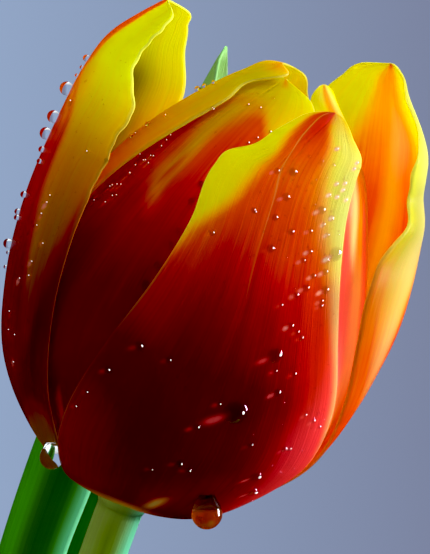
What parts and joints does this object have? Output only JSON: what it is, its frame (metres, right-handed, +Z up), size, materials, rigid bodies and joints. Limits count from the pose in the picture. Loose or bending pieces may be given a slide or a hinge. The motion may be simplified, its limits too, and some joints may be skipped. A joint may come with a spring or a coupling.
{
  "type": "tulip in a vase",
  "caption": "A cupped tulip with red and yellow tepals on a leaning green stem with leaves, standing in water in a clear glass bud vase.",
  "frame": {"origin": "the centre of the vase's flat underside", "axes": "+Z up through the vase's axis, -Y towards the side from which the picture sees the bloom, +X to that viewer's right, the way that the stem leans"},
  "size_m": [0.1188, 0.0848, 0.3245],
  "materials": {
    "tepal_red": "satin",
    "tepal_yellow": "satin",
    "tepal_orange": "satin",
    "pistil": "satin",
    "stamen": "matte",
    "stem": "satin",
    "leaf": "satin",
    "water": "polished",
    "glass": "polished"
  },
  "bodies": {
    "root": {"tepal_outer_front": "tepal_red", "tepal_outer_left": "tepal_yellow", "tepal_outer_right": "tepal_orange", "tepal_inner_left": "tepal_red", "tepal_inner_right": "tepal_orange", "tepal_inner_back": "tepal_yellow", "pistil": "pistil", "stamens": "stamen", "stem": "stem", "leaf_tall": "leaf", "leaf_low": "leaf", "water": "water", "vase": "glass"}
  },
  "joints": []
}
